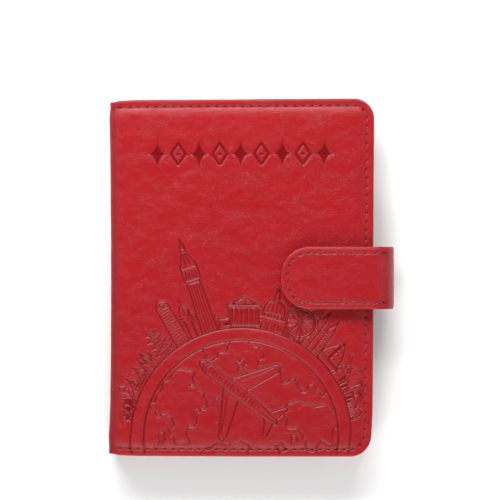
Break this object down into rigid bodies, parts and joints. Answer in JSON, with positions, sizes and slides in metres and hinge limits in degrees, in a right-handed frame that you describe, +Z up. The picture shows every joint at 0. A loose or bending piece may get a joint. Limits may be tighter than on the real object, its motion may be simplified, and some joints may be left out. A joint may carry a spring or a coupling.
{
  "type": "passport holder wallet",
  "caption": "Book-style leather wallet for a passport, with inner pockets and a strap that snaps shut round the fore-edge.",
  "frame": {"origin": "middle of the back cover's outer face, which the closed wallet lies on", "axes": "+X from the spine to the fore-edge, +Y to the top of the covers, +Z up through the front cover"},
  "size_m": [0.1122, 0.141, 0.0187],
  "materials": {
    "cover_leather": "satin, fine creased grain",
    "pocket_leather": "satin, fine grain",
    "lining": "matt woven",
    "thread": "twisted thread",
    "foam": "matt foam",
    "board": "raw greyboard",
    "snap_metal": "nickel plated"
  },
  "bodies": {
    "back_cover": {"back_cover_skin": "cover_leather", "back_cover_foam": "foam", "back_cover_board": "board", "back_cover_lining": "lining", "back_cover_seam_thread": "thread", "passport_sleeve_panel": "pocket_leather", "passport_sleeve_seams": "pocket_leather", "strap_root_leather": "cover_leather", "strap_root_lining": "lining"},
    "spine": {"spine_skin": "cover_leather", "spine_stiffener": "board", "spine_lining": "lining"},
    "front_cover": {"front_cover_skin": "cover_leather", "front_cover_foam": "foam", "front_cover_board": "board", "front_cover_lining": "lining", "front_cover_seam_thread": "thread", "document_pocket_panel": "pocket_leather", "document_pocket_seams": "pocket_leather", "card_slot_rear": "pocket_leather", "card_slot_middle": "pocket_leather", "card_slot_front": "pocket_leather", "card_slot_seams": "pocket_leather", "snap_stud": "snap_metal", "snap_stud_post": "snap_metal"},
    "strap_bridge": {"strap_bridge_leather": "cover_leather", "strap_bridge_lining": "lining"},
    "strap_tab": {"strap_tab_leather": "cover_leather", "strap_tab_lining": "lining", "strap_seam_thread": "thread", "snap_cap": "snap_metal", "snap_socket": "snap_metal", "snap_spring": "snap_metal"}
  },
  "joints": [
    {"name": "cover_open", "type": "hinge", "parent": "back_cover", "child": "spine", "pos_m": [-0.051, 0, 0.001], "axis": [0, -1, 0], "range_deg": [0, 90]},
    {"name": "front_fold", "type": "hinge", "parent": "spine", "child": "front_cover", "pos_m": [-0.051, 0, 0.0136], "axis": [0, -1, 0], "range_deg": [0, 90]},
    {"name": "strap_open", "type": "hinge", "parent": "back_cover", "child": "strap_bridge", "pos_m": [0.05783, 0, 0.00372], "axis": [0, 1, 0], "range_deg": [0, 90]},
    {"name": "strap_tab_fold", "type": "hinge", "parent": "strap_bridge", "child": "strap_tab", "pos_m": [0.05783, 0, 0.01598], "axis": [0, 1, 0], "range_deg": [0, 90]}
  ],
  "couplings": [
    {"joint": "front_fold", "follows": "cover_open", "ratio": 1},
    {"joint": "strap_tab_fold", "follows": "strap_open", "ratio": 1}
  ]
}
